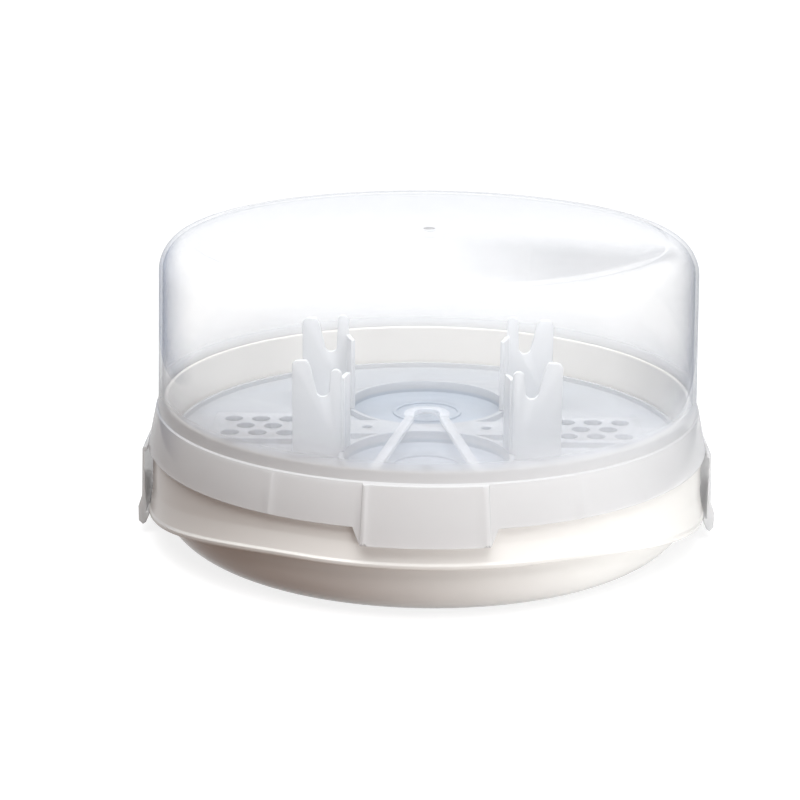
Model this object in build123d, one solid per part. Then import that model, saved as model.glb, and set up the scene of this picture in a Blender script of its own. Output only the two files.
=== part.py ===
from build123d import *
import math
import os

# Sizes in millimetres. Z is up from the surface that the base stands on, and the front is at -Y.

# Base
FOOT_RADIUS = 112.0
BOWL_CORNER = 22.5
BOWL_WALL = 2.5
BOWL_TOP_RADIUS = 131.5
BOWL_TOP_Z = 50.0
TRAY_SEAT_Z = 44.0
TRAY_SEAT_INNER = 122.0
TRAY_SEAT_DEPTH = 3.0
COLLAR_OUTER = 131.2
COLLAR_INNER = 129.0
COLLAR_TOP_Z = 70.5
COLLAR_GAP = 0.6
SHOULDER_Z = 63.7
SHOULDER_RADIUS = 133.0
APRON_WAIST_RADIUS = 137.3
APRON_WAIST_Z = 45.7
APRON_RADIUS = 140.0
APRON_RADIUS_Z = 30.0
APRON_WALL = 2.2
LIP_FRONT_Z = 27.3
GRIP_START_X = 55.0
GRIP_CURVE = 227.0

# Lid
LID_WALL = 1.8
LID_TOP_Z = 152.7
CROWN_RADIUS = 116.3
CROWN_Z = 150.0
SHOULDER_CURVE = 16.0
WALL_FOOT_RADIUS = 133.9
WALL_FOOT_Z = 71.0
LEDGE_RADIUS = 135.2
LEDGE_Z = 65.5
SKIRT_RADIUS = 139.5
SKIRT_Z = 45.7
GATE_RADIUS = 3.0
GATE_HEIGHT = 0.6
TAB_HALF_WIDTH = 29.8
TAB_ROOT_HALF_WIDTH = 34.0
TAB_Z = 38.0
TAB_PROUD = 0.9
RIB_ANGLE = 30.0
RIB_WIDTH = 1.4
RIB_PROUD = 0.5

# Clips
CLIP_WIDTH = 40.0
CLIP_PIVOT_X = 139.9
CLIP_PIVOT_Z = 44.2
CLIP_KNUCKLE = 1.2
CLIP_INNER_X = 140.3
CLIP_OUTER_X = 141.9
CLIP_GRIP_X = 143.9
CLIP_HOOK_X = 138.9
CLIP_HOOK_TOP_Z = 11.0
CLIP_BOTTOM_Z = 4.6

# Tray
TRAY_RADIUS = 127.0
TRAY_RIM = 2.0
TRAY_RIM_TOP_Z = 50.5
DECK_TOP_Z = 48.0
DECK_THICKNESS = 2.0
LAND_TOP_Z = 51.0
SEAT_RADIUS = 40.0
SEAT_Y = 46.0
SEAT_WALL = 2.4
SEAT_FLOOR_Z = 45.0
SEAT_RING_RADIUS = 18.0
SIDE_LAND_INNER_X = 61.0
SIDE_LAND_OUTER_X = 108.0
SIDE_LAND_HALF_DEPTH = 22.0
STEAM_HOLE_RADIUS = 4.6
STEAM_HOLE_PITCH = 13.8
SMALL_HOLE_RADIUS = 2.6
SMALL_HOLE_X = 30.0

# Posts
POST_OUTER_X = 65.0
POST_INNER_X = 41.0
POST_Y = 42.0
POST_THICKNESS = 2.4
POST_OUTER_HORN_Z = 97.0
POST_NOTCH_Z = 79.0
POST_FRONT_INNER_HORN_Z = 92.5
POST_BACK_INNER_HORN_Z = 98.5
POST_FLANGE_Z = 88.0
POST_FLANGE_ANGLE = 16.0

# Tongs
TONGS_THICKNESS = 3.0
TONGS_WIDTH = 5.0
TONGS_BEND_RADIUS = 9.0
TONGS_BEND_Y = 16.0
TONGS_ROOT_Y = 8.0
TONGS_TIP_X = 30.0
TONGS_TIP_Y = -104.0
TONGS_PAD_LENGTH = 20.0
TONGS_PAD_WIDTH = 8.0
TONGS_CLEARANCE = 0.1


def revolved(points):
    """Turn a closed outline of (radius, height) points about the vertical axis."""
    outline = Polyline(*[(radius, 0, height) for radius, height in points], close=True)
    return revolve(make_face(outline), Axis.Z)


def turned(edges):
    """Turn a closed loop of edges in the XZ plane about the vertical axis."""
    return revolve(make_face(edges), Axis.Z)


def ring(outer, inner, low, high):
    """An upright ring between two heights."""
    return revolved([(inner, low), (outer, low), (outer, high), (inner, high)])


def column(radius, low, high, x=0.0, y=0.0):
    """An upright round column between two heights."""
    return Pos(x, y, (low + high) / 2) * Cylinder(radius, high - low)


def block(x_low, x_high, y_low, y_high, z_low, z_high):
    """A block given by its lowest and highest corners."""
    centre = Pos((x_low + x_high) / 2, (y_low + y_high) / 2, (z_low + z_high) / 2)
    return centre * Box(x_high - x_low, y_high - y_low, z_high - z_low)


def base_bowl():
    """The water bowl: flat foot, round corner, wall, tray seat and the collar inside the lid."""
    corner_x = FOOT_RADIUS
    bulge = FOOT_RADIUS + BOWL_CORNER
    inner_corner = BOWL_CORNER - BOWL_WALL
    slant = math.sqrt(0.5)
    outer_mid = (corner_x + BOWL_CORNER * slant, 0, BOWL_CORNER - BOWL_CORNER * slant)
    inner_mid = (corner_x + inner_corner * slant, 0, BOWL_CORNER - inner_corner * slant)
    seat_root_z = TRAY_SEAT_Z - 3 * TRAY_SEAT_DEPTH
    share = (seat_root_z - BOWL_CORNER) / (BOWL_TOP_Z - BOWL_CORNER)
    seat_root = bulge - BOWL_WALL + share * (BOWL_TOP_RADIUS - bulge)
    loop = [
        Line((0, 0, 0), (corner_x, 0, 0)),
        ThreePointArc((corner_x, 0, 0), outer_mid, (bulge, 0, BOWL_CORNER)),
        Polyline(
            (bulge, 0, BOWL_CORNER),
            (BOWL_TOP_RADIUS, 0, BOWL_TOP_Z),
            (COLLAR_OUTER, 0, BOWL_TOP_Z + 2),
            (COLLAR_OUTER, 0, COLLAR_TOP_Z),
            (COLLAR_INNER, 0, COLLAR_TOP_Z),
            (COLLAR_INNER, 0, TRAY_SEAT_Z),
            (TRAY_SEAT_INNER, 0, TRAY_SEAT_Z),
            (TRAY_SEAT_INNER, 0, TRAY_SEAT_Z - TRAY_SEAT_DEPTH),
            (seat_root, 0, seat_root_z),
            (bulge - BOWL_WALL, 0, BOWL_CORNER),
        ),
        ThreePointArc((bulge - BOWL_WALL, 0, BOWL_CORNER), inner_mid, (corner_x, 0, BOWL_WALL)),
        Line((corner_x, 0, BOWL_WALL), (0, 0, BOWL_WALL)),
        Line((0, 0, BOWL_WALL), (0, 0, 0)),
    ]
    return turned(loop)


def base_rim():
    """The shoulder that the lid rests on, and the apron whose edge dips into a grip on each side."""
    lowest = grip_z(APRON_RADIUS)
    inner = APRON_RADIUS - APRON_WALL
    band = revolved([
        (COLLAR_OUTER, SHOULDER_Z),
        (SHOULDER_RADIUS, SHOULDER_Z),
        (APRON_WAIST_RADIUS, APRON_WAIST_Z),
        (APRON_RADIUS, APRON_RADIUS_Z),
        (APRON_RADIUS, lowest - 1),
        (inner, lowest - 1),
        (inner, APRON_RADIUS_Z),
        (APRON_WAIST_RADIUS - APRON_WALL, APRON_WAIST_Z),
        (COLLAR_OUTER, BOWL_TOP_Z + 4),
    ])
    return band - grip_cutter()


def grip_z(x):
    """Height of the apron's lower edge at a distance x from the middle."""
    return LIP_FRONT_Z - max(0.0, abs(x) - GRIP_START_X) ** 2 / (2 * GRIP_CURVE)


def grip_cutter():
    """What is taken from under the apron: level in front and behind, and dipping to both sides."""
    reach = APRON_RADIUS + 5
    half = (GRIP_START_X + reach) / 2
    depth = 2 * reach
    floor = grip_z(reach) - 10
    loop = [
        Line((-GRIP_START_X, 0, LIP_FRONT_Z), (GRIP_START_X, 0, LIP_FRONT_Z)),
        ThreePointArc(
            (GRIP_START_X, 0, LIP_FRONT_Z), (half, 0, grip_z(half)), (reach, 0, grip_z(reach))
        ),
        Polyline(
            (reach, 0, grip_z(reach)), (reach, 0, floor), (-reach, 0, floor), (-reach, 0, grip_z(reach))
        ),
        ThreePointArc(
            (-reach, 0, grip_z(reach)), (-half, 0, grip_z(half)), (-GRIP_START_X, 0, LIP_FRONT_Z)
        ),
    ]
    return extrude(make_face(loop), amount=depth / 2, dir=(0, 1, 0), both=True)


def lid_dome():
    """The clear dome and its wall, down to the ledge that rests on the base."""
    wall_top = CROWN_RADIUS + SHOULDER_CURVE
    curve_z = CROWN_Z - SHOULDER_CURVE
    inner_curve = SHOULDER_CURVE - LID_WALL
    slant = math.sqrt(0.5)
    outer_mid = (CROWN_RADIUS + SHOULDER_CURVE * slant, 0, curve_z + SHOULDER_CURVE * slant)
    inner_mid = (CROWN_RADIUS + inner_curve * slant, 0, curve_z + inner_curve * slant)
    half_rise = (LID_TOP_Z - CROWN_Z) * 0.75
    outer_mid_z = CROWN_Z + half_rise
    pip_z = LID_TOP_Z + GATE_HEIGHT
    loop = [
        Polyline((0, 0, pip_z), (GATE_RADIUS, 0, pip_z), (GATE_RADIUS, 0, LID_TOP_Z)),
        ThreePointArc(
            (GATE_RADIUS, 0, LID_TOP_Z), (CROWN_RADIUS / 2, 0, outer_mid_z), (CROWN_RADIUS, 0, CROWN_Z)
        ),
        ThreePointArc((CROWN_RADIUS, 0, CROWN_Z), outer_mid, (wall_top, 0, curve_z)),
        Polyline(
            (wall_top, 0, curve_z),
            (WALL_FOOT_RADIUS, 0, WALL_FOOT_Z),
            (LEDGE_RADIUS, 0, LEDGE_Z),
            (LEDGE_RADIUS, 0, SHOULDER_Z),
            (COLLAR_OUTER + COLLAR_GAP, 0, SHOULDER_Z),
            (WALL_FOOT_RADIUS - LID_WALL, 0, WALL_FOOT_Z),
            (wall_top - LID_WALL, 0, curve_z),
        ),
        ThreePointArc(
            (wall_top - LID_WALL, 0, curve_z), inner_mid, (CROWN_RADIUS, 0, CROWN_Z - LID_WALL)
        ),
        ThreePointArc(
            (CROWN_RADIUS, 0, CROWN_Z - LID_WALL),
            (CROWN_RADIUS / 2, 0, outer_mid_z - LID_WALL),
            (GATE_RADIUS, 0, LID_TOP_Z - LID_WALL),
        ),
        Polyline((GATE_RADIUS, 0, LID_TOP_Z - LID_WALL), (0, 0, LID_TOP_Z - LID_WALL), (0, 0, pip_z)),
    ]
    return turned(loop)


def skirt_band(low, proud, depth):
    """The sloping skirt wall down to a height, stood proud by an amount and so deep behind that."""
    slope = (SKIRT_RADIUS - LEDGE_RADIUS) / (SHOULDER_Z - SKIRT_Z)
    low_radius = SKIRT_RADIUS + slope * (SKIRT_Z - low)
    return revolved([
        (LEDGE_RADIUS + proud, SHOULDER_Z),
        (low_radius + proud, low),
        (low_radius - depth, low),
        (LEDGE_RADIUS - depth, SHOULDER_Z),
    ])


def front_prism(points, side):
    """A prism from the middle outwards over one side, from (across, height) points."""
    face = make_face(Polyline(*[(x, 0, z) for x, z in points], close=True))
    return extrude(face, amount=SKIRT_RADIUS + 20, dir=(0, side, 0))


def lid_skirt():
    """The skirt round the base, with a grip tab in front and behind and four fine ribs."""
    under_skirt = ring(SKIRT_RADIUS + 20, LEDGE_RADIUS - 10, TAB_Z - 5, SKIRT_Z)
    embedded = LID_WALL / 2
    tab_foot = TAB_HALF_WIDTH + TAB_PROUD
    for side in (-1, 1):
        under_skirt -= front_prism([
            (-TAB_ROOT_HALF_WIDTH, SKIRT_Z + 1),
            (TAB_ROOT_HALF_WIDTH, SKIRT_Z + 1),
            (tab_foot, TAB_Z),
            (tab_foot, TAB_Z - 6),
            (-tab_foot, TAB_Z - 6),
            (-tab_foot, TAB_Z),
        ], side)
    skirt = skirt_band(TAB_Z, 0.0, LID_WALL) - under_skirt
    for side in (-1, 1):
        skirt += skirt_band(TAB_Z, TAB_PROUD, embedded) & front_prism([
            (-TAB_HALF_WIDTH, SHOULDER_Z + 1),
            (TAB_HALF_WIDTH, SHOULDER_Z + 1),
            (TAB_HALF_WIDTH, TAB_Z - 1),
            (-TAB_HALF_WIDTH, TAB_Z - 1),
        ], side)
    for turn in (RIB_ANGLE, -RIB_ANGLE, 180 + RIB_ANGLE, 180 - RIB_ANGLE):
        strip = Rot(0, 0, turn) * block(
            -RIB_WIDTH / 2, RIB_WIDTH / 2, -SKIRT_RADIUS - 5, -LEDGE_RADIUS + 5, TAB_Z, SHOULDER_Z + 1
        )
        skirt += skirt_band(SKIRT_Z, RIB_PROUD, embedded) & strip
    return skirt


def clip(side):
    """One side clip: knuckle, arm, finger grip, and the hook under the base's apron."""
    grip_low = CLIP_BOTTOM_Z + 2
    grip_high = CLIP_HOOK_TOP_Z + 4
    outline = make_face(Polyline(
        (CLIP_INNER_X, 0, CLIP_PIVOT_Z),
        (CLIP_OUTER_X - 0.8, 0, CLIP_PIVOT_Z),
        (CLIP_OUTER_X, 0, grip_high + 5),
        (CLIP_GRIP_X, 0, grip_high - 1),
        (CLIP_GRIP_X, 0, grip_low),
        (CLIP_GRIP_X - 2, 0, CLIP_BOTTOM_Z),
        (CLIP_HOOK_X + 1.5, 0, CLIP_BOTTOM_Z + 1),
        (CLIP_HOOK_X, 0, CLIP_HOOK_TOP_Z - 2),
        (CLIP_HOOK_X, 0, CLIP_HOOK_TOP_Z),
        (CLIP_INNER_X, 0, CLIP_HOOK_TOP_Z),
        close=True,
    ))
    body = extrude(outline, amount=CLIP_WIDTH / 2, dir=(0, 1, 0), both=True)
    knuckle = Pos(CLIP_PIVOT_X, 0, CLIP_PIVOT_Z) * Rot(90, 0, 0) * Cylinder(CLIP_KNUCKLE, CLIP_WIDTH)
    solid = body + knuckle
    return solid if side > 0 else mirror(solid, about=Plane.YZ)


def tray_deck():
    """The lift-out tray: rim, deck, two round bottle seats and two perforated lands."""
    deck_low = DECK_TOP_Z - DECK_THICKNESS
    seat_low = SEAT_FLOOR_Z - DECK_THICKNESS
    inside = TRAY_RADIUS - TRAY_RIM
    tray = column(inside + TRAY_RIM / 2, deck_low, DECK_TOP_Z)
    tray += ring(TRAY_RADIUS, inside, TRAY_SEAT_Z, TRAY_RIM_TOP_Z)
    disc = column(inside, DECK_TOP_Z - DECK_THICKNESS / 2, LAND_TOP_Z)
    for side in (-1, 1):
        near = min(side * SIDE_LAND_INNER_X, side * SIDE_LAND_OUTER_X)
        far = max(side * SIDE_LAND_INNER_X, side * SIDE_LAND_OUTER_X)
        tray += disc & block(
            near, far, -SIDE_LAND_HALF_DEPTH, SIDE_LAND_HALF_DEPTH, DECK_TOP_Z - 1, LAND_TOP_Z
        )
    tray += block(-SEAT_RADIUS, SEAT_RADIUS, -SEAT_Y / 4, SEAT_Y / 4, DECK_TOP_Z - 1, LAND_TOP_Z)
    for side in (-1, 1):
        seat_y = side * SEAT_Y
        tray += column(SEAT_RADIUS + SEAT_WALL, seat_low, LAND_TOP_Z, 0, seat_y)
    for side in (-1, 1):
        seat_y = side * SEAT_Y
        tray -= column(SEAT_RADIUS, SEAT_FLOOR_Z, LAND_TOP_Z + 1, 0, seat_y)
        tray += column(SEAT_RING_RADIUS, seat_low, SEAT_FLOOR_Z + 1, 0, seat_y)
        tray -= column(SEAT_RING_RADIUS - 2, SEAT_FLOOR_Z, SEAT_FLOOR_Z + 2, 0, seat_y)
        tray -= column(SMALL_HOLE_RADIUS, seat_low - 1, LAND_TOP_Z, 0, seat_y)
    for x, y, radius in hole_places():
        tray -= column(radius, seat_low - 1, LAND_TOP_Z + 1, x, y)
    return tray


def hole_places():
    """Middle and radius of each steam hole in the lands and of the small holes beside the middle."""
    row_pitch = STEAM_HOLE_PITCH * math.sqrt(0.75)
    middle = (SIDE_LAND_INNER_X + SIDE_LAND_OUTER_X) / 2
    places = []
    for side in (-1, 1):
        for row, count in ((-1, 3), (0, 2), (1, 3)):
            for step in range(count):
                x = middle + (step - (count - 1) / 2) * STEAM_HOLE_PITCH
                places.append((side * x, row * row_pitch, STEAM_HOLE_RADIUS))
        places.append((side * SMALL_HOLE_X, 0.0, SMALL_HOLE_RADIUS))
    return places


def post(x_side, y_side):
    """One bottle post: a blade with an uneven U notch, and a flange that follows the seat."""
    inner_horn = POST_FRONT_INNER_HORN_Z if y_side < 0 else POST_BACK_INNER_HORN_Z
    root = DECK_TOP_Z
    loop = [
        Polyline((POST_INNER_X, 0, root), (POST_OUTER_X, 0, root), (POST_OUTER_X, 0, POST_OUTER_HORN_Z - 3)),
        ThreePointArc(
            (POST_OUTER_X, 0, POST_OUTER_HORN_Z - 3),
            (POST_OUTER_X - 1, 0, POST_OUTER_HORN_Z - 1),
            (POST_OUTER_X - 3, 0, POST_OUTER_HORN_Z),
        ),
        Line((POST_OUTER_X - 3, 0, POST_OUTER_HORN_Z), (POST_OUTER_X - 7, 0, POST_OUTER_HORN_Z)),
        Polyline(
            (POST_OUTER_X - 7, 0, POST_OUTER_HORN_Z),
            (POST_OUTER_X - 8.6, 0, POST_OUTER_HORN_Z - 2.4),
            (POST_OUTER_X - 11.6, 0, POST_NOTCH_Z + 3),
        ),
        ThreePointArc(
            (POST_OUTER_X - 11.6, 0, POST_NOTCH_Z + 3),
            (POST_OUTER_X - 15, 0, POST_NOTCH_Z),
            (POST_OUTER_X - 17.8, 0, POST_NOTCH_Z + 4),
        ),
        Line((POST_OUTER_X - 17.8, 0, POST_NOTCH_Z + 4), (POST_OUTER_X - 18.4, 0, inner_horn - 2.6)),
        ThreePointArc(
            (POST_OUTER_X - 18.4, 0, inner_horn - 2.6),
            (POST_OUTER_X - 21.1, 0, inner_horn),
            (POST_INNER_X, 0, inner_horn - 3),
        ),
        Line((POST_INNER_X, 0, inner_horn - 3), (POST_INNER_X, 0, root)),
    ]
    blade = Pos(0, POST_Y, 0) * extrude(
        make_face(loop), amount=POST_THICKNESS / 2, dir=(0, 1, 0), both=True
    )
    outer = SEAT_RADIUS + SEAT_WALL
    wall = Pos(0, SEAT_Y, 0) * ring(outer, SEAT_RADIUS, DECK_TOP_Z, POST_FLANGE_Z)
    start = math.asin((POST_Y - SEAT_Y) / SEAT_RADIUS)
    end = start - math.radians(POST_FLANGE_ANGLE)
    wedge = make_face(Polyline(
        (0, SEAT_Y, 0),
        (2 * outer * math.cos(start), SEAT_Y + 2 * outer * math.sin(start), 0),
        (2 * outer * math.cos(end), SEAT_Y + 2 * outer * math.sin(end), 0),
        close=True,
    ))
    flange = wall & extrude(wedge, amount=POST_FLANGE_Z + 1)
    solid = blade + flange - column(outer, 0, LAND_TOP_Z, 0, SEAT_Y)
    if x_side < 0:
        solid = mirror(solid, about=Plane.YZ)
    if y_side < 0:
        solid = mirror(solid, about=Plane.XZ)
    return solid


def tongs_bend():
    """The springy bend of the tongs, with a round socket at each end for an arm."""
    low = LAND_TOP_Z
    high = LAND_TOP_Z + TONGS_THICKNESS
    outer = TONGS_BEND_RADIUS + TONGS_WIDTH / 2
    inner = TONGS_BEND_RADIUS - TONGS_WIDTH / 2
    bend = column(outer, low, high, 0, TONGS_BEND_Y) - column(inner, low - 1, high + 1, 0, TONGS_BEND_Y)
    bend -= block(-2 * outer, 2 * outer, TONGS_BEND_Y - 2 * outer, TONGS_BEND_Y, low - 1, high + 1)
    for side in (-1, 1):
        middle = side * TONGS_BEND_RADIUS
        leg = block(
            middle - TONGS_WIDTH / 2, middle + TONGS_WIDTH / 2, TONGS_ROOT_Y, TONGS_BEND_Y, low, high
        )
        bend += leg - column(TONGS_WIDTH / 2 + TONGS_CLEARANCE, low - 1, high + 1, middle, TONGS_ROOT_Y)
    return bend


def tongs_arm(side):
    """One arm of the tongs, from its round root to its flat gripping pad."""
    low = LAND_TOP_Z
    high = LAND_TOP_Z + TONGS_THICKNESS
    root = (side * TONGS_BEND_RADIUS, TONGS_ROOT_Y)
    tip = (side * TONGS_TIP_X, TONGS_TIP_Y)
    run = math.hypot(tip[0] - root[0], tip[1] - root[1])
    turn = math.degrees(math.atan2(tip[1] - root[1], tip[0] - root[0]))
    bar = block(0, run, -TONGS_WIDTH / 2, TONGS_WIDTH / 2, low, high)
    bar += column(TONGS_WIDTH / 2, low, high)
    pad = block(run - TONGS_PAD_LENGTH, run, -TONGS_PAD_WIDTH / 2, TONGS_PAD_WIDTH / 2, low, high)
    bar += pad + column(TONGS_PAD_WIDTH / 2, low, high, run, 0)
    return Pos(root[0], root[1], 0) * Rot(0, 0, turn) * bar


def main():
    os.makedirs("parts", exist_ok=True)
    nodes = {
        "base_bowl": base_bowl(),
        "base_rim": base_rim(),
        "tray_deck": tray_deck(),
        "post_front_left": post(-1, -1),
        "post_front_right": post(1, -1),
        "post_back_left": post(-1, 1),
        "post_back_right": post(1, 1),
        "lid_dome": lid_dome(),
        "lid_skirt": lid_skirt(),
        "clip_left": clip(-1),
        "clip_right": clip(1),
        "tongs_bend": tongs_bend(),
        "tongs_arm_left": tongs_arm(-1),
        "tongs_arm_right": tongs_arm(1),
    }
    for name, solid in nodes.items():
        export_step(solid, f"parts/{name}.step")


main()
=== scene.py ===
import math

import bpy
from mathutils import Matrix, Vector


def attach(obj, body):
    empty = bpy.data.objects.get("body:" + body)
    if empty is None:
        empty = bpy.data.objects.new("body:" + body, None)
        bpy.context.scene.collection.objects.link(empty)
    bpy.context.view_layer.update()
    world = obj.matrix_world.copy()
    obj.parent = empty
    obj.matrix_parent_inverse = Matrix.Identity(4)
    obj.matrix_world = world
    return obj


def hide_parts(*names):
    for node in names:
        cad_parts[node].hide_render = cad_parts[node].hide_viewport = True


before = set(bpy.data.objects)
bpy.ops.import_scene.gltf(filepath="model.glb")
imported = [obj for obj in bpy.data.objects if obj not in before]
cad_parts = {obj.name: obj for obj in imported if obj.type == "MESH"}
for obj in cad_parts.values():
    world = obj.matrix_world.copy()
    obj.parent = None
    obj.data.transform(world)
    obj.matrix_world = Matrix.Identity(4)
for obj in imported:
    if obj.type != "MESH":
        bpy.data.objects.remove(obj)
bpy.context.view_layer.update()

scene = bpy.context.scene
segmentCount = 240  # faces round every turned piece
mergeDistance = 0.000002  # closes the seams and poles of a turned piece
print("stage: frame loaded")


# Camera

camera = {
    "distance": 1.05268,
    "elevation": math.radians(16.05),
    "aimHeight": 0.070,
    "lens": 94.43,
    "yaw": math.radians(-0.74),
    "pitch": math.radians(-0.25),
    "roll": math.radians(-0.69),
}


def turnPair(first, second, angle):
    return (
        first * math.cos(angle) - second * math.sin(angle),
        first * math.sin(angle) + second * math.cos(angle),
    )


def makeCamera(settings):
    rise = settings["elevation"]
    right = Vector((1, 0, 0))
    ahead = Vector((0, math.cos(rise), -math.sin(rise)))
    up = right.cross(ahead)
    right, ahead = turnPair(right, ahead, settings["yaw"])
    up, ahead = turnPair(up, ahead, settings["pitch"])
    right, up = turnPair(right, up, settings["roll"])
    place = Vector((
        0,
        -settings["distance"] * math.cos(rise),
        settings["aimHeight"] + settings["distance"] * math.sin(rise),
    ))
    bpy.ops.object.camera_add()
    eye = bpy.context.object
    eye.name = "viewCamera"
    eye.data.lens = settings["lens"]
    eye.data.sensor_width = 36
    turn = Matrix((right, up, -ahead)).transposed()
    eye.matrix_world = Matrix.Translation(place) @ turn.to_4x4()
    scene.camera = eye


makeCamera(camera)
print("stage: camera placed")


# Modelling helpers

def deselectAll():
    bpy.ops.object.select_all(action="DESELECT")


def makeActive(piece):
    deselectAll()
    piece.select_set(True)
    bpy.context.view_layer.objects.active = piece


def softProfile(corners, steps=4):
    # (radius, height, rounding) corners become a profile with rounded corners
    profile = []
    for index, (radius, height, rounding) in enumerate(corners):
        corner = Vector((radius, height))
        if rounding == 0 or index in (0, len(corners) - 1):
            profile.append(corner)
            continue
        back = (Vector(corners[index - 1][:2]) - corner).normalized()
        on = (Vector(corners[index + 1][:2]) - corner).normalized()
        half = back.angle(on) / 2
        reach = rounding / math.tan(half)
        start, end = corner + back * reach, corner + on * reach
        for step in range(steps + 1):
            share = step / steps
            curve = start * (1 - share) ** 2 + corner * 2 * share * (1 - share) + end * share ** 2
            profile.append(curve)
    return [(point.x, point.y) for point in profile]


def arcProfile(centre, bend, first, last, steps):
    points = []
    for step in range(steps + 1):
        angle = math.radians(first + (last - first) * step / steps)
        points.append((centre[0] + bend * math.cos(angle), centre[1] + bend * math.sin(angle)))
    return points


def turnedShell(name, profile, ringShaped):
    # a ring is extruded from point to point of the profile, as on a lathe
    deselectAll()
    radius, height = profile[0]
    bpy.ops.mesh.primitive_circle_add(vertices=segmentCount, radius=radius, location=(0, 0, height))
    piece = bpy.context.object
    piece.name = name
    bpy.ops.object.transform_apply(location=True, rotation=True, scale=True)
    bpy.ops.object.mode_set(mode="EDIT")
    bpy.ops.mesh.select_mode(type="EDGE")
    bpy.ops.mesh.select_all(action="SELECT")
    rest = profile[1:] + ([profile[0]] if ringShaped else [])
    for nextRadius, nextHeight in rest:
        bpy.ops.mesh.extrude_region_move(
            TRANSFORM_OT_translate={"value": (0, 0, nextHeight - height)}
        )
        share = nextRadius / radius
        bpy.ops.transform.resize(value=(share, share, 1), center_override=(0, 0, 0))
        radius, height = nextRadius, nextHeight
    bpy.ops.mesh.select_all(action="SELECT")
    bpy.ops.mesh.remove_doubles(threshold=mergeDistance)
    if not ringShaped:
        bpy.ops.mesh.select_all(action="DESELECT")
        bpy.ops.mesh.select_non_manifold()
        bpy.ops.mesh.fill_holes(sides=0)
    bpy.ops.mesh.select_all(action="SELECT")
    bpy.ops.mesh.normals_make_consistent(inside=False)
    bpy.ops.object.mode_set(mode="OBJECT")
    return piece


def insetFaces(piece, chosen, thickness, depth):
    # chosen faces are inset and stood proud of their neighbours
    makeActive(piece)
    for face in piece.data.polygons:
        face.select = chosen(face)
    for edge in piece.data.edges:
        edge.select = False
    for vertex in piece.data.vertices:
        vertex.select = False
    bpy.ops.object.mode_set(mode="EDIT")
    bpy.ops.mesh.select_mode(type="FACE")
    bpy.ops.mesh.inset(thickness=thickness, depth=depth, use_boundary=True)
    bpy.ops.object.mode_set(mode="OBJECT")


def smoothShade(piece, angle):
    makeActive(piece)
    bpy.ops.object.shade_smooth_by_angle(angle=math.radians(angle))


copied = {"merge": 0.00001, "flatAngle": 0.4, "edgeSegments": 2}


def refinedCopy(node, name, edge, angle):
    # a merged copy of the node's mesh, with its sharp edges rounded
    piece = bpy.data.objects.new(name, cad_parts[node].data.copy())
    scene.collection.objects.link(piece)
    piece.data.materials.clear()
    makeActive(piece)
    bpy.ops.object.mode_set(mode="EDIT")
    bpy.ops.mesh.select_all(action="SELECT")
    bpy.ops.mesh.remove_doubles(threshold=copied["merge"])
    bpy.ops.mesh.dissolve_limited(angle_limit=math.radians(copied["flatAngle"]))
    bpy.ops.object.mode_set(mode="OBJECT")
    bevel = piece.modifiers.new("roundedEdges", "BEVEL")
    bevel.width = edge
    bevel.segments = copied["edgeSegments"]
    bevel.limit_method = "ANGLE"
    bevel.angle_limit = math.radians(angle)
    bevel.use_clamp_overlap = True
    bpy.ops.object.modifier_apply(modifier="roundedEdges")
    smoothShade(piece, angle)
    return piece


def finishPiece(piece, body, slot, finish, *nodes):
    piece.data.materials.clear()
    piece.data.materials.append(finish)
    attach(piece, body)
    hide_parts(*nodes)


# Shader helper

class Wire:
    # one shader socket: arithmetic on it adds Math nodes
    def __init__(self, tree, socket=None):
        self.tree = tree
        self.socket = socket

    def add(self, kind, settings=None, inputs=None, output=0):
        node = self.tree.nodes.new(kind)
        for key, value in (settings or {}).items():
            setattr(node, key, value)
        for key, value in (inputs or {}).items():
            if isinstance(value, Wire):
                self.tree.links.new(value.socket, node.inputs[key])
            else:
                node.inputs[key].default_value = value
        return Wire(self.tree, node.outputs[output])

    def maths(self, operation, first, second):
        return self.add("ShaderNodeMath", {"operation": operation}, {0: first, 1: second})

    def __add__(self, other):
        return self.maths("ADD", self, other)

    def __radd__(self, other):
        return self.maths("ADD", other, self)

    def __sub__(self, other):
        return self.maths("SUBTRACT", self, other)

    def __rsub__(self, other):
        return self.maths("SUBTRACT", other, self)

    def __mul__(self, other):
        return self.maths("MULTIPLY", self, other)

    def __rmul__(self, other):
        return self.maths("MULTIPLY", other, self)

    def __pow__(self, other):
        return self.maths("POWER", self, other)


def newFinish(name):
    finish = bpy.data.materials.new(name)
    finish.use_nodes = True
    tree = finish.node_tree
    shader = next(node for node in tree.nodes if node.type == "BSDF_PRINCIPLED")
    return finish, tree, shader


def mixColours(wire, factor, first, second):
    # inputs 6 and 7 and output 2 are the Mix node's colours
    return wire.add(
        "ShaderNodeMix",
        {"data_type": "RGBA"},
        {"Factor": factor, 6: first, 7: second},
        output=2,
    )


grainLook = {"detail": 3.0, "strength": 0.25}


def mouldedGrain(wire, scale, height):
    # the faint unevenness of a moulded surface, as a bump
    place = wire.add("ShaderNodeTexCoord", output="Object")
    grain = wire.add(
        "ShaderNodeTexNoise", None, {"Vector": place, "Scale": scale, "Detail": grainLook["detail"]},
    )
    bump = wire.add(
        "ShaderNodeBump", None, {"Strength": grainLook["strength"], "Distance": height, "Height": grain},
    )
    return place, grain, bump


def heightOf(wire, place):
    return wire.add("ShaderNodeSeparateXYZ", None, {"Vector": place}, output="Z")


def fadeBelow(wire, value, top, blend):
    # 0 where the value is above the top, rising to 1 below it
    return wire.add(
        "ShaderNodeMath", {"operation": "MULTIPLY", "use_clamp": True}, {0: top - value, 1: blend},
    )


# Finishes

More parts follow.
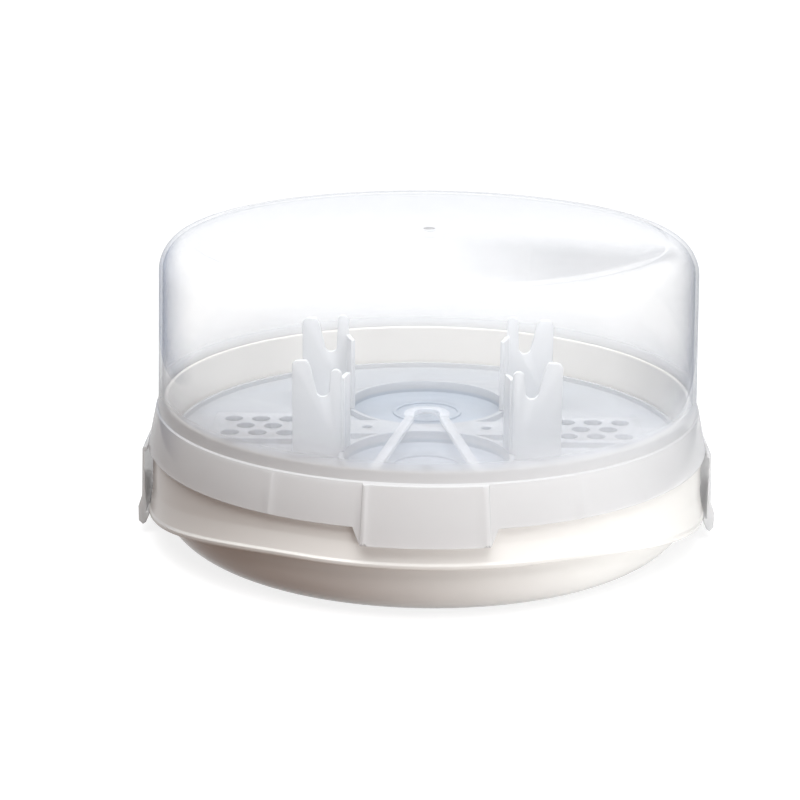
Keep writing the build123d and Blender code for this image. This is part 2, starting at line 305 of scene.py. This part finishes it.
creamFinish = {
    "colour": (0.85, 0.835, 0.81, 1),
    "shade": (0.81, 0.785, 0.75, 1),
    "roughness": 0.17,
    "roughnessSpread": 0.08,
    "grainScale": 38.0,
    "grainHeight": 0.00004,
    "cloudScale": 9.0,
    "cloudDetail": 2.0,
    "cloudShare": 0.5,
}


def makeCream(settings):
    finish, tree, shader = newFinish("creamMoulding")
    wire = Wire(tree)
    place, grain, bump = mouldedGrain(wire, settings["grainScale"], settings["grainHeight"])
    cloud = wire.add(
        "ShaderNodeTexNoise",
        None,
        {"Vector": place, "Scale": settings["cloudScale"], "Detail": settings["cloudDetail"]},
    )
    colour = mixColours(wire, cloud * settings["cloudShare"], settings["colour"], settings["shade"])
    roughness = grain * settings["roughnessSpread"] + settings["roughness"]
    tree.links.new(colour.socket, shader.inputs["Base Color"])
    tree.links.new(roughness.socket, shader.inputs["Roughness"])
    tree.links.new(bump.socket, shader.inputs["Normal"])
    return finish


clearFinish = {
    "colour": (0.72, 0.735, 0.78, 1),
    "wallAlpha": 0.022,
    "grainAlpha": 0.02,
    # the haze on the lower wall
    "hazeColour": (0.86, 0.875, 0.90, 1),
    "hazeAlpha": 0.34,
    "hazeBelow": 0.106,
    "hazeBlend": 27.0,
    # the milky skirt and clips
    "skirtColour": (0.79, 0.79, 0.80, 1),
    "skirtAlpha": 0.58,
    "milkyBelow": 0.0760,
    "milkyBlend": 85.0,
    # the blue-grey look of the wall where it is seen edge on, which is less on the milky part
    "edgeColour": (0.17, 0.235, 0.35, 1),
    "edgeAlpha": 0.55,
    "edgePower": 6.0,
    "milkyEdgeAlpha": 0.6,
    "milkyEdgeColour": 0.7,
    "facingBlend": 0.5,
    # the thick point at the crown's centre: denser for its thicker plastic, and darkened with painted shade
    "pipShadeColour": (0.27, 0.27, 0.28, 1),
    "pipAlpha": 0.62,
    "pipTop": 0.15325,
    "pipBlend": 3000.0,
    # the film itself, and the gloss on it
    "roughness": 0.30,
    "gloss": 0.05,
    "glossFront": 0.045,
    "glossEdge": 0.55,
    "glossPower": 5.0,
    "grainScale": 30.0,
    "grainHeight": 0.00003,
}


def makeClear(settings):
    finish, tree, shader = newFinish("clearMoulding")
    wire = Wire(tree)
    place, grain, bump = mouldedGrain(wire, settings["grainScale"], settings["grainHeight"])
    height = heightOf(wire, place)
    milky = fadeBelow(wire, height, settings["milkyBelow"], settings["milkyBlend"])
    haze = fadeBelow(wire, height, settings["hazeBelow"], settings["hazeBlend"]) ** 2.0 * (1 - milky)
    pip = 1 - fadeBelow(wire, height, settings["pipTop"], settings["pipBlend"])
    facing = wire.add("ShaderNodeLayerWeight", None, {"Blend": settings["facingBlend"]}, output="Facing")
    edge = facing ** settings["edgePower"]
    alpha = milky * (settings["skirtAlpha"] - settings["wallAlpha"]) + settings["wallAlpha"]
    alpha = alpha + haze * settings["hazeAlpha"]
    alpha = alpha + edge * settings["edgeAlpha"] * (1 - milky * settings["milkyEdgeAlpha"])
    alpha = alpha + grain * settings["grainAlpha"] + pip * settings["pipAlpha"]
    colour = mixColours(wire, haze, settings["colour"], settings["hazeColour"])
    colour = mixColours(wire, milky, colour, settings["skirtColour"])
    edgeTint = edge * (1 - milky * settings["milkyEdgeColour"])
    colour = mixColours(wire, edgeTint, colour, settings["edgeColour"])
    # painted shade: the pip at the crown's centre is mixed towards a dark grey
    colour = mixColours(wire, pip, colour, settings["pipShadeColour"])
    tree.links.new(alpha.socket, shader.inputs["Alpha"])
    tree.links.new(colour.socket, shader.inputs["Base Color"])
    tree.links.new(bump.socket, shader.inputs["Normal"])
    shader.inputs["Roughness"].default_value = settings["roughness"]
    shader.inputs["Specular IOR Level"].default_value = 0.0
    # the surface gloss is a layer of its own, so that it stays where the film is clear
    gloss = wire.add(
        "ShaderNodeBsdfPrincipled",
        None,
        {"Base Color": (1, 1, 1, 1), "Metallic": 1.0, "Roughness": settings["gloss"], "Normal": bump},
    )
    share = facing ** settings["glossPower"] * settings["glossEdge"] + settings["glossFront"]
    layers = wire.add("ShaderNodeMixShader", None, {0: share, 1: Wire(tree, shader.outputs[0]), 2: gloss})
    output = next(node for node in tree.nodes if node.type == "OUTPUT_MATERIAL")
    tree.links.new(layers.socket, output.inputs["Surface"])
    return finish


frostedFinish = {
    # each darker tone serves both the random grain tone and the painted shade on the seats' floors
    "tray": {"colour": (0.70, 0.715, 0.745, 1), "deep": (0.54, 0.61, 0.71, 1), "alpha": 0.42},
    "posts": {"colour": (0.92, 0.93, 0.95, 1), "deep": (0.86, 0.89, 0.93, 1), "alpha": 0.64},
    "tongs": {"colour": (0.90, 0.92, 0.96, 1), "deep": (0.84, 0.88, 0.94, 1), "alpha": 0.17},
    "edgeAlpha": 0.26,
    "facingBlend": 0.4,
    "recessShadeTop": 0.0476,  # below it, the seats' floors get painted shade, a deeper colour
    "recessShadeBlend": 700.0,
    "recessShadeShare": 0.75,
    "grainShare": 0.25,
    "grainAlpha": 0.06,
    "roughness": 0.26,
    "grainScale": 55.0,
    "grainHeight": 0.00003,
}


def makeFrosted(settings, kind):
    finish, tree, shader = newFinish(kind + "Frosted")
    wire = Wire(tree)
    tones = settings[kind]
    place, grain, bump = mouldedGrain(wire, settings["grainScale"], settings["grainHeight"])
    facing = wire.add("ShaderNodeLayerWeight", None, {"Blend": settings["facingBlend"]}, output="Facing")
    # painted shade: below a set height the seats' floors are mixed towards the darker tone, and the grain
    # adds random tone
    recess = fadeBelow(wire, heightOf(wire, place), settings["recessShadeTop"], settings["recessShadeBlend"])
    depth = recess * settings["recessShadeShare"] + grain * settings["grainShare"]
    colour = mixColours(wire, depth, tones["colour"], tones["deep"])
    alpha = facing * settings["edgeAlpha"] + tones["alpha"] + grain * settings["grainAlpha"]
    tree.links.new(colour.socket, shader.inputs["Base Color"])
    tree.links.new(alpha.socket, shader.inputs["Alpha"])
    tree.links.new(bump.socket, shader.inputs["Normal"])
    shader.inputs["Roughness"].default_value = settings["roughness"]
    return finish


cream = makeCream(creamFinish)
clear = makeClear(clearFinish)
trayFrost = makeFrosted(frostedFinish, "tray")
postsFrost = makeFrosted(frostedFinish, "posts")
tongsFrost = makeFrosted(frostedFinish, "tongs")
# every CAD node gets the finish of its own piece, by the first word of its name
nodeFinishes = {
    "base": cream, "lid": clear, "clip": clear, "tray": trayFrost, "post": postsFrost, "tongs": tongsFrost,
}
for nodeName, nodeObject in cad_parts.items():
    nodeObject.data.materials.clear()
    nodeObject.data.materials.append(nodeFinishes[nodeName.split("_")[0]])
print("stage: finishes made")


# Base

bowl = {
    "centre": 0.004,  # left open by the turning, then filled
    "foot": 0.112,
    "footMargin": 0.004,
    "corner": 0.0225,
    "outerSteps": 14,
    "innerSteps": 12,
    "wall": 0.0025,
    "topRadius": 0.1315,
    "topHeight": 0.050,
    "collarOuter": 0.1312,
    "collarInner": 0.129,
    "collarTop": 0.0705,
    "seatHeight": 0.044,
    "seatInner": 0.122,
    "seatLip": 0.003,
    "underSeatIn": 0.0011,
    "underSeatDrop": 0.009,
    "angle": 35,
}


def makeBowl(settings):
    foot, corner, wall = settings["foot"], settings["corner"], settings["wall"]
    outer = [(settings["centre"], 0.0), (foot - settings["footMargin"], 0.0)]
    outer += arcProfile((foot, corner), corner, -90, 0, settings["outerSteps"])
    outer += softProfile([
        (foot + corner, corner, 0),
        (settings["topRadius"], settings["topHeight"], 0.001),
        (settings["collarOuter"], settings["topHeight"] + 0.002, 0.0005),
        (settings["collarOuter"], settings["collarTop"], 0.0009),
        (settings["collarInner"], settings["collarTop"], 0.0009),
        (settings["collarInner"], settings["seatHeight"], 0.0006),
        (settings["seatInner"], settings["seatHeight"], 0.0008),
        (settings["seatInner"], settings["seatHeight"] - settings["seatLip"], 0.0008),
        (
            foot + corner - wall - settings["underSeatIn"],
            settings["seatHeight"] - settings["underSeatDrop"],
            0,
        ),
    ], 3)[1:]
    inner = arcProfile((foot, corner), corner - wall, 0, -90, settings["innerSteps"])
    profile = outer + inner + [(settings["centre"], wall)]
    piece = turnedShell("baseBowl", profile, False)
    smoothShade(piece, settings["angle"])
    finishPiece(piece, "base", "base_white", cream, "base_bowl")


apron = {
    "collar": 0.1312,
    "collarFoot": 0.054,
    "shoulderRadius": 0.133,
    "shoulderHeight": 0.0637,
    "waistRadius": 0.1373,
    "waistHeight": 0.0457,
    "radius": 0.140,
    "flareRadius": 0.1377,
    "flareHeight": 0.0385,
    "wall": 0.0022,
    "lipHeight": 0.0273,
    "gripStart": 0.055,
    "gripCurve": 0.227,
    "dipRise": 0.0090,  # up to here above the lip, the dip is at its full depth
    "bead": 0.0008,
    "beadHeight": 0.0021,
    "beadRise": 0.0009,
    "innerIn": 0.0007,
    "innerRise": 0.0085,
    "angle": 35,
}


def gripDip(settings, across):
    # how far the apron's lower edge falls towards the two grips
    return max(0.0, abs(across) - settings["gripStart"]) ** 2 / (2 * settings["gripCurve"])


def makeApron(settings):
    radius, wall, lip = settings["radius"], settings["wall"], settings["lipHeight"]
    neck = radius - settings["bead"]
    profile = softProfile([
        (settings["collar"], settings["shoulderHeight"], 0),
        (settings["shoulderRadius"], settings["shoulderHeight"], 0.0010),
        (settings["waistRadius"], settings["waistHeight"], 0.0100),
        (settings["flareRadius"], settings["flareHeight"], 0.0100),
        (neck, lip + settings["beadHeight"] + settings["beadRise"], 0.0014),
        (radius, lip + settings["beadHeight"], 0.0006),
        (radius, lip, 0.0009),
        (radius - wall, lip, 0.0008),
        (radius - wall - settings["innerIn"], lip + settings["innerRise"], 0.0040),
        (settings["waistRadius"] - wall, settings["waistHeight"], 0.0080),
        (settings["collar"], settings["collarFoot"], 0),
    ], 4)
    piece = turnedShell("baseApron", profile, True)
    top = settings["waistHeight"]
    bottom = lip + settings["dipRise"]
    for vertex in piece.data.vertices:
        share = min(1.0, max(0.0, (top - vertex.co.z) / (top - bottom)))
        ease = share * share * (3 - 2 * share)
        vertex.co.z -= gripDip(settings, vertex.co.x) * ease
    smoothShade(piece, settings["angle"])
    finishPiece(piece, "base", "base_white", cream, "base_rim")


makeBowl(bowl)
makeApron(apron)
print("stage: base made")


# Lid

lid = {
    "wall": 0.0018,
    "top": 0.1527,
    "centre": 0.0016,  # left open by the turning, then filled
    "pipRadius": 0.003,
    "pipHeight": 0.0006,
    "crownRadius": 0.1163,
    "crownHeight": 0.150,
    "crownOuter": (0.1, 0.25, 0.4, 0.55, 0.7, 0.84, 0.94),  # the crown's points, as shares of its radius
    "crownInner": (0.9, 0.75, 0.6, 0.45, 0.3, 0.15),
    "groove": 0.00030,
    "grooveLine": ((-0.0009, 0.2), (-0.0001, -1.0), (0.0009, -0.3)),  # outwards, and a share of its depth
    "curve": 0.016,
    "outerSteps": 16,
    "innerSteps": 14,
    "wallFootRadius": 0.1339,
    "wallFootHeight": 0.071,
    "ledgeRadius": 0.1352,
    "ledgeHeight": 0.0655,
    "ledgeStep": 0.0009,
    "ledgeRise": 0.0006,
    "rest": 0.0637,
    "restInner": 0.1318,
    "skirtRadius": 0.1395,
    "skirtHeight": 0.0457,
    "outward": 0.8,  # faces turned outwards by more than this are the skirt's outside
    "tabHeight": 0.038,
    "tabReach": 0.0016,  # how far up the skirt's edge goes down with the tab
    "tabAngle": 12.1,
    "tabInset": 0.00045,
    "tabProud": 0.00085,
    "tabBead": 0.00045,
    "ribAngle": 30.0,
    "ribSpread": 0.3,
    "ribInset": 0.0011,
    "ribProud": 0.00045,
    "angle": 28,
}


def crownLine(settings, radius):
    fall = settings["top"] - settings["crownHeight"]
    return settings["top"] - fall * (radius / settings["crownRadius"]) ** 2


def faceAzimuth(face):
    # degrees from the front or the back, whichever is nearer
    return math.degrees(math.atan2(face.center.x, abs(face.center.y)))


def makeLid(settings):
    wall, crown, curve = settings["wall"], settings["crownRadius"], settings["curve"]
    pip, top, groove = settings["pipRadius"], settings["top"], settings["groove"]
    curveHeight = settings["crownHeight"] - curve
    outer = softProfile([
        (settings["centre"], top + settings["pipHeight"], 0),
        (pip - 0.0002, top + settings["pipHeight"], 0.0003),
        (pip, top, 0.0001),
        (pip + 0.0006, crownLine(settings, pip), 0),
    ], 3)
    outer += [(crown * share, crownLine(settings, crown * share)) for share in settings["crownOuter"]]
    outer += [
        (crown + outwards, settings["crownHeight"] + groove * depth)
        for outwards, depth in settings["grooveLine"]
    ]
    outer += arcProfile((crown, curveHeight), curve, 84, 0, settings["outerSteps"])
    outer += softProfile([
        (crown + curve, curveHeight, 0),
        (settings["wallFootRadius"], settings["wallFootHeight"], 0.0060),
        (
            settings["ledgeRadius"] - settings["ledgeStep"],
            settings["ledgeHeight"] + settings["ledgeRise"],
            0.0004,
        ),
        (settings["ledgeRadius"], settings["ledgeHeight"], 0.0003),
        (settings["skirtRadius"], settings["skirtHeight"], 0.0006),
        (settings["skirtRadius"] - wall, settings["skirtHeight"], 0.0006),
        (settings["ledgeRadius"] - wall, settings["rest"], 0.0004),
        (settings["restInner"], settings["rest"], 0.0004),
        (settings["wallFootRadius"] - wall, settings["wallFootHeight"], 0.0060),
        (crown + curve - wall, curveHeight, 0),
    ], 4)[1:]
    inner = arcProfile((crown, curveHeight), curve - wall, 0, 90, settings["innerSteps"])[1:]
    inner += [(crown * share, crownLine(settings, crown * share) - wall) for share in settings["crownInner"]]
    inner += [(settings["centre"], top - wall)]
    piece = turnedShell("lidShell", outer + inner, False)

    # the grip tab in front and behind hangs lower than the skirt
    skirtFall = settings["ledgeHeight"] - settings["skirtHeight"]
    skirtLean = (settings["skirtRadius"] - settings["ledgeRadius"]) / skirtFall
    drop = settings["skirtHeight"] - settings["tabHeight"]
    for vertex in piece.data.vertices:
        azimuth = math.degrees(math.atan2(abs(vertex.co.x), abs(vertex.co.y)))
        if vertex.co.z < settings["skirtHeight"] + settings["tabReach"] and azimuth < settings["tabAngle"]:
            away = Vector((vertex.co.x, vertex.co.y, 0))
            vertex.co += away.normalized() * drop * skirtLean
            vertex.co.z -= drop

    def onSkirt(face):
        reach = math.hypot(face.center.x, face.center.y)
        slope = Vector((face.center.x, face.center.y, 0)).normalized().dot(face.normal)
        outside = reach > settings["ledgeRadius"] and slope > settings["outward"]
        return outside and face.center.z < settings["rest"]

    def nearAzimuth(face, angle, spread):
        return abs(abs(faceAzimuth(face)) - angle) < spread

    insetFaces(
        piece,
        lambda face: onSkirt(face) and abs(faceAzimuth(face)) < settings["tabAngle"],
        settings["tabInset"], settings["tabProud"],
    )
    halfColumn = 180 / segmentCount
    beadAngle = settings["tabAngle"] - halfColumn
    ribAngle = settings["ribAngle"] + halfColumn
    insetFaces(
        piece,
        lambda face: onSkirt(face) and nearAzimuth(face, beadAngle, halfColumn),
        settings["ribInset"], settings["tabBead"],
    )
    insetFaces(
        piece,
        lambda face: onSkirt(face) and nearAzimuth(face, ribAngle, settings["ribSpread"]),
        settings["ribInset"], settings["ribProud"],
    )
    smoothShade(piece, settings["angle"])
    finishPiece(piece, "lid", "lid_clear", clear, "lid_dome", "lid_skirt")


makeLid(lid)

clips = {
    "edge": 0.0005,
    "angle": 30,
    # the shallow recess in the large face that is turned outwards
    "outward": 0.9,
    "panelArea": 0.00015,
    "panelInset": 0.0018,
    "panelDepth": -0.0005,
}
for side in ("left", "right"):
    clipPiece = refinedCopy("clip_" + side, side + "Clip", clips["edge"], clips["angle"])
    outward = -1 if side == "left" else 1
    insetFaces(
        clipPiece,
        lambda face: face.normal.x * outward > clips["outward"] and face.area > clips["panelArea"],
        clips["panelInset"], clips["panelDepth"],
    )
    smoothShade(clipPiece, clips["angle"])
    finishPiece(clipPiece, side + "_clip", "lid_clear", clear, "clip_" + side)
print("stage: lid and clips made")


# Tray and posts

tray = {"edge": 0.00045, "postEdge": 0.0006, "angle": 30}
deck = refinedCopy("tray_deck", "trayDeck", tray["edge"], tray["angle"])
finishPiece(deck, "tray", "tray_frosted", trayFrost, "tray_deck")
for post in ("front_left", "front_right", "back_left", "back_right"):
    words = post.split("_")
    bladeName = words[0] + words[1].capitalize() + "Post"
    blade = refinedCopy("post_" + post, bladeName, tray["postEdge"], tray["angle"])
    finishPiece(blade, "tray", "tray_frosted", postsFrost, "post_" + post)
print("stage: tray and posts made")


# Tongs

tongs = {"edge": 0.0009, "angle": 30, "underside": 0.05108}


def liftUnderside(piece, height):
    # a little room under the tongs, so that the arms slide over the tray
    for vertex in piece.data.vertices:
        vertex.co.z = max(vertex.co.z, height)


bend = refinedCopy("tongs_bend", "tongsBend", tongs["edge"], tongs["angle"])
liftUnderside(bend, tongs["underside"])
finishPiece(bend, "tongs", "tongs_frosted", tongsFrost, "tongs_bend")
for side in ("left", "right"):
    arm = refinedCopy("tongs_arm_" + side, side + "TongsArm", tongs["edge"], tongs["angle"])
    liftUnderside(arm, tongs["underside"])
    finishPiece(arm, side + "_arm", "tongs_frosted", tongsFrost, "tongs_arm_" + side)
print("stage: tongs made")


# Floor, light and background

studio = {
    "floorSize": 8.0,
    "floorRoughness": 0.9,
    "floorColour": (0.86, 0.86, 0.86, 1),
    "floorShown": (0.26, 0.26, 0.26, 1),  # with the glow, about white to the camera, and dimmer in shadow
    "floorGlow": 0.80,
    "floorFade": 0.14,  # more glow for each metre away, so that no horizon shows
    "mirrorGlow": 0.80,  # the floor that reflections meet, even all over
    "bounceColour": (0.11, 0.052, 0.026, 1),  # the dim warm side of the studio, met by bounced light only
    "bounceAzimuth": 218,
    "bounceStart": 0.0,
    "bounceBlend": 8.0,
    "worldLight": 0.12,
    "lamps": {
        "keyLamp": {"place": (0.32, -0.66, 1.12), "size": (0.7, 0.6), "power": 6.2, "target": (0, 0, 0.05)},
        "lowLamp": {"place": (0.56, -0.72, 0.12), "size": (0.5, 0.20), "power": 2.6, "target": (0, 0, 0.04)},
        "leftLamp": {"place": (-0.52, -0.38, 1.15), "size": (0.6, 0.6), "power": 5.8, "target": (0, 0, 0.05)},
        "topLamp": {"place": (0.05, -0.18, 0.80), "size": (0.7, 0.6), "power": 6.0, "target": (0, 0, 0.07)},
        "backLamp": {"place": (0.0, 1.0, 0.80), "size": (0.8, 0.5), "power": 2.4, "target": (0, 0, 0.05)},
    },
    "panelBlend": 3.5,  # how quickly a panel comes in from its edges
    # panels that only reflections meet
    "panels": {
        "rightFlag": {"place": (0.33, 0.13, 0.10), "size": (0.60, 0.40), "colour": (0.05, 0.06, 0.09, 1)},
        "leftFlag": {"place": (-0.33, 0.24, 0.09), "size": (0.40, 0.36), "colour": (0.22, 0.28, 0.42, 1)},
        "crownFlag": {"place": (0.215, 0.62, 0.350), "size": (0.46, 0.12), "colour": (0.10, 0.10, 0.105, 1)},
    },
}


def aimAt(thing, target):
    thing.rotation_euler = (Vector(target) - thing.location).to_track_quat("-Z", "Y").to_euler()


def makeFloor(settings):
    deselectAll()
    bpy.ops.mesh.primitive_plane_add(size=settings["floorSize"])
    floor = bpy.context.object
    floor.name = "studioFloor"
    finish, tree, shader = newFinish("paleFloor")
    shader.inputs["Roughness"].default_value = settings["floorRoughness"]
    wire = Wire(tree)
    seen = wire.add("ShaderNodeLightPath", output="Is Camera Ray")
    mirrored = wire.add("ShaderNodeLightPath", output="Is Glossy Ray")
    place = wire.add("ShaderNodeTexCoord", output="Object")
    azimuth = math.radians(settings["bounceAzimuth"])
    across = wire.add(
        "ShaderNodeVectorMath",
        {"operation": "DOT_PRODUCT"},
        {0: place, 1: (math.cos(azimuth), math.sin(azimuth), 0)},
        output="Value",
    )
    dim = wire.add(
        "ShaderNodeMath",
        {"operation": "MULTIPLY", "use_clamp": True},
        {0: across - settings["bounceStart"], 1: settings["bounceBlend"]},
    )
    colour = mixColours(wire, dim, settings["floorColour"], settings["bounceColour"])
    colour = mixColours(wire, mirrored, colour, (0, 0, 0, 1))
    colour = mixColours(wire, seen, colour, settings["floorShown"])
    tree.links.new(colour.socket, shader.inputs["Base Color"])
    reach = wire.add("ShaderNodeVectorMath", {"operation": "LENGTH"}, {0: place}, output="Value")
    near = wire.maths("MINIMUM", reach * settings["floorFade"] + settings["floorGlow"], 1.0)
    shown = seen * near + mirrored * settings["mirrorGlow"]
    glow = mixColours(wire, shown, (0, 0, 0, 1), (1, 1, 1, 1))
    tree.links.new(glow.socket, shader.inputs["Emission Color"])
    shader.inputs["Emission Strength"].default_value = 1.0
    floor.data.materials.append(finish)


def makeWorld(settings):
    # white to the camera, in reflections and through clear walls, and a low light otherwise
    world = bpy.data.worlds.new("studioWorld")
    world.use_nodes = True
    scene.world = world
    tree = world.node_tree
    background = next(node for node in tree.nodes if node.type == "BACKGROUND")
    background.inputs["Color"].default_value = (1, 1, 1, 1)
    wire = Wire(tree)
    seen = wire.add("ShaderNodeLightPath", output="Is Camera Ray")
    mirrored = wire.add("ShaderNodeLightPath", output="Is Glossy Ray")
    passed = wire.add("ShaderNodeLightPath", output="Is Transmission Ray")
    direct = wire.maths("MINIMUM", seen + mirrored + passed, 1.0)
    strength = direct * (1 - settings["worldLight"]) + settings["worldLight"]
    tree.links.new(strength.socket, background.inputs["Strength"])


def makeLamps(settings):
    for name, lamp in settings["lamps"].items():
        bpy.ops.object.light_add(type="AREA", location=lamp["place"])
        light = bpy.context.object
        light.name = name
        light.data.shape = "RECTANGLE"
        light.data.size, light.data.size_y = lamp["size"]
        light.data.energy = lamp["power"]
        light.visible_camera = False
        light.visible_glossy = False  # reflections meet the white world, with no hard-edged lamps in it
        aimAt(light, lamp["target"])


def edgeFade(wire, place, axis, blend):
    # 0 at a panel's two edges across the axis, rising to 1 inside
    offset = wire.add("ShaderNodeSeparateXYZ", None, {"Vector": place}, output=axis)
    distance = wire.add("ShaderNodeMath", {"operation": "ABSOLUTE"}, {0: offset})
    return fadeBelow(wire, distance, 0.5, blend)


def makePanels(settings):
    for name, card in settings["panels"].items():
        deselectAll()
        bpy.ops.mesh.primitive_plane_add(size=1, location=card["place"])
        panel = bpy.context.object
        panel.name = name
        panel.scale = (card["size"][0], card["size"][1], 1)
        aimAt(panel, (0, 0, card["place"][2]))
        finish, tree, shader = newFinish(name + "Finish")
        shader.inputs["Base Color"].default_value = card["colour"]
        shader.inputs["Roughness"].default_value = 1.0
        wire = Wire(tree)
        place = wire.add("ShaderNodeTexCoord", output="Object")
        across = edgeFade(wire, place, "X", settings["panelBlend"])
        along = edgeFade(wire, place, "Y", settings["panelBlend"])
        soft = across * along
        tree.links.new(soft.socket, shader.inputs["Alpha"])
        panel.data.materials.append(finish)
        panel.visible_camera = False
        panel.visible_shadow = False
        panel.visible_transmission = False
        panel.visible_diffuse = False


makeFloor(studio)
makeWorld(studio)
makeLamps(studio)
makePanels(studio)
scene.view_settings.view_transform = "Standard"
scene.cycles.transparent_max_bounces = 32  # the clear walls, tray and posts lie behind each other
print("stage: studio made")
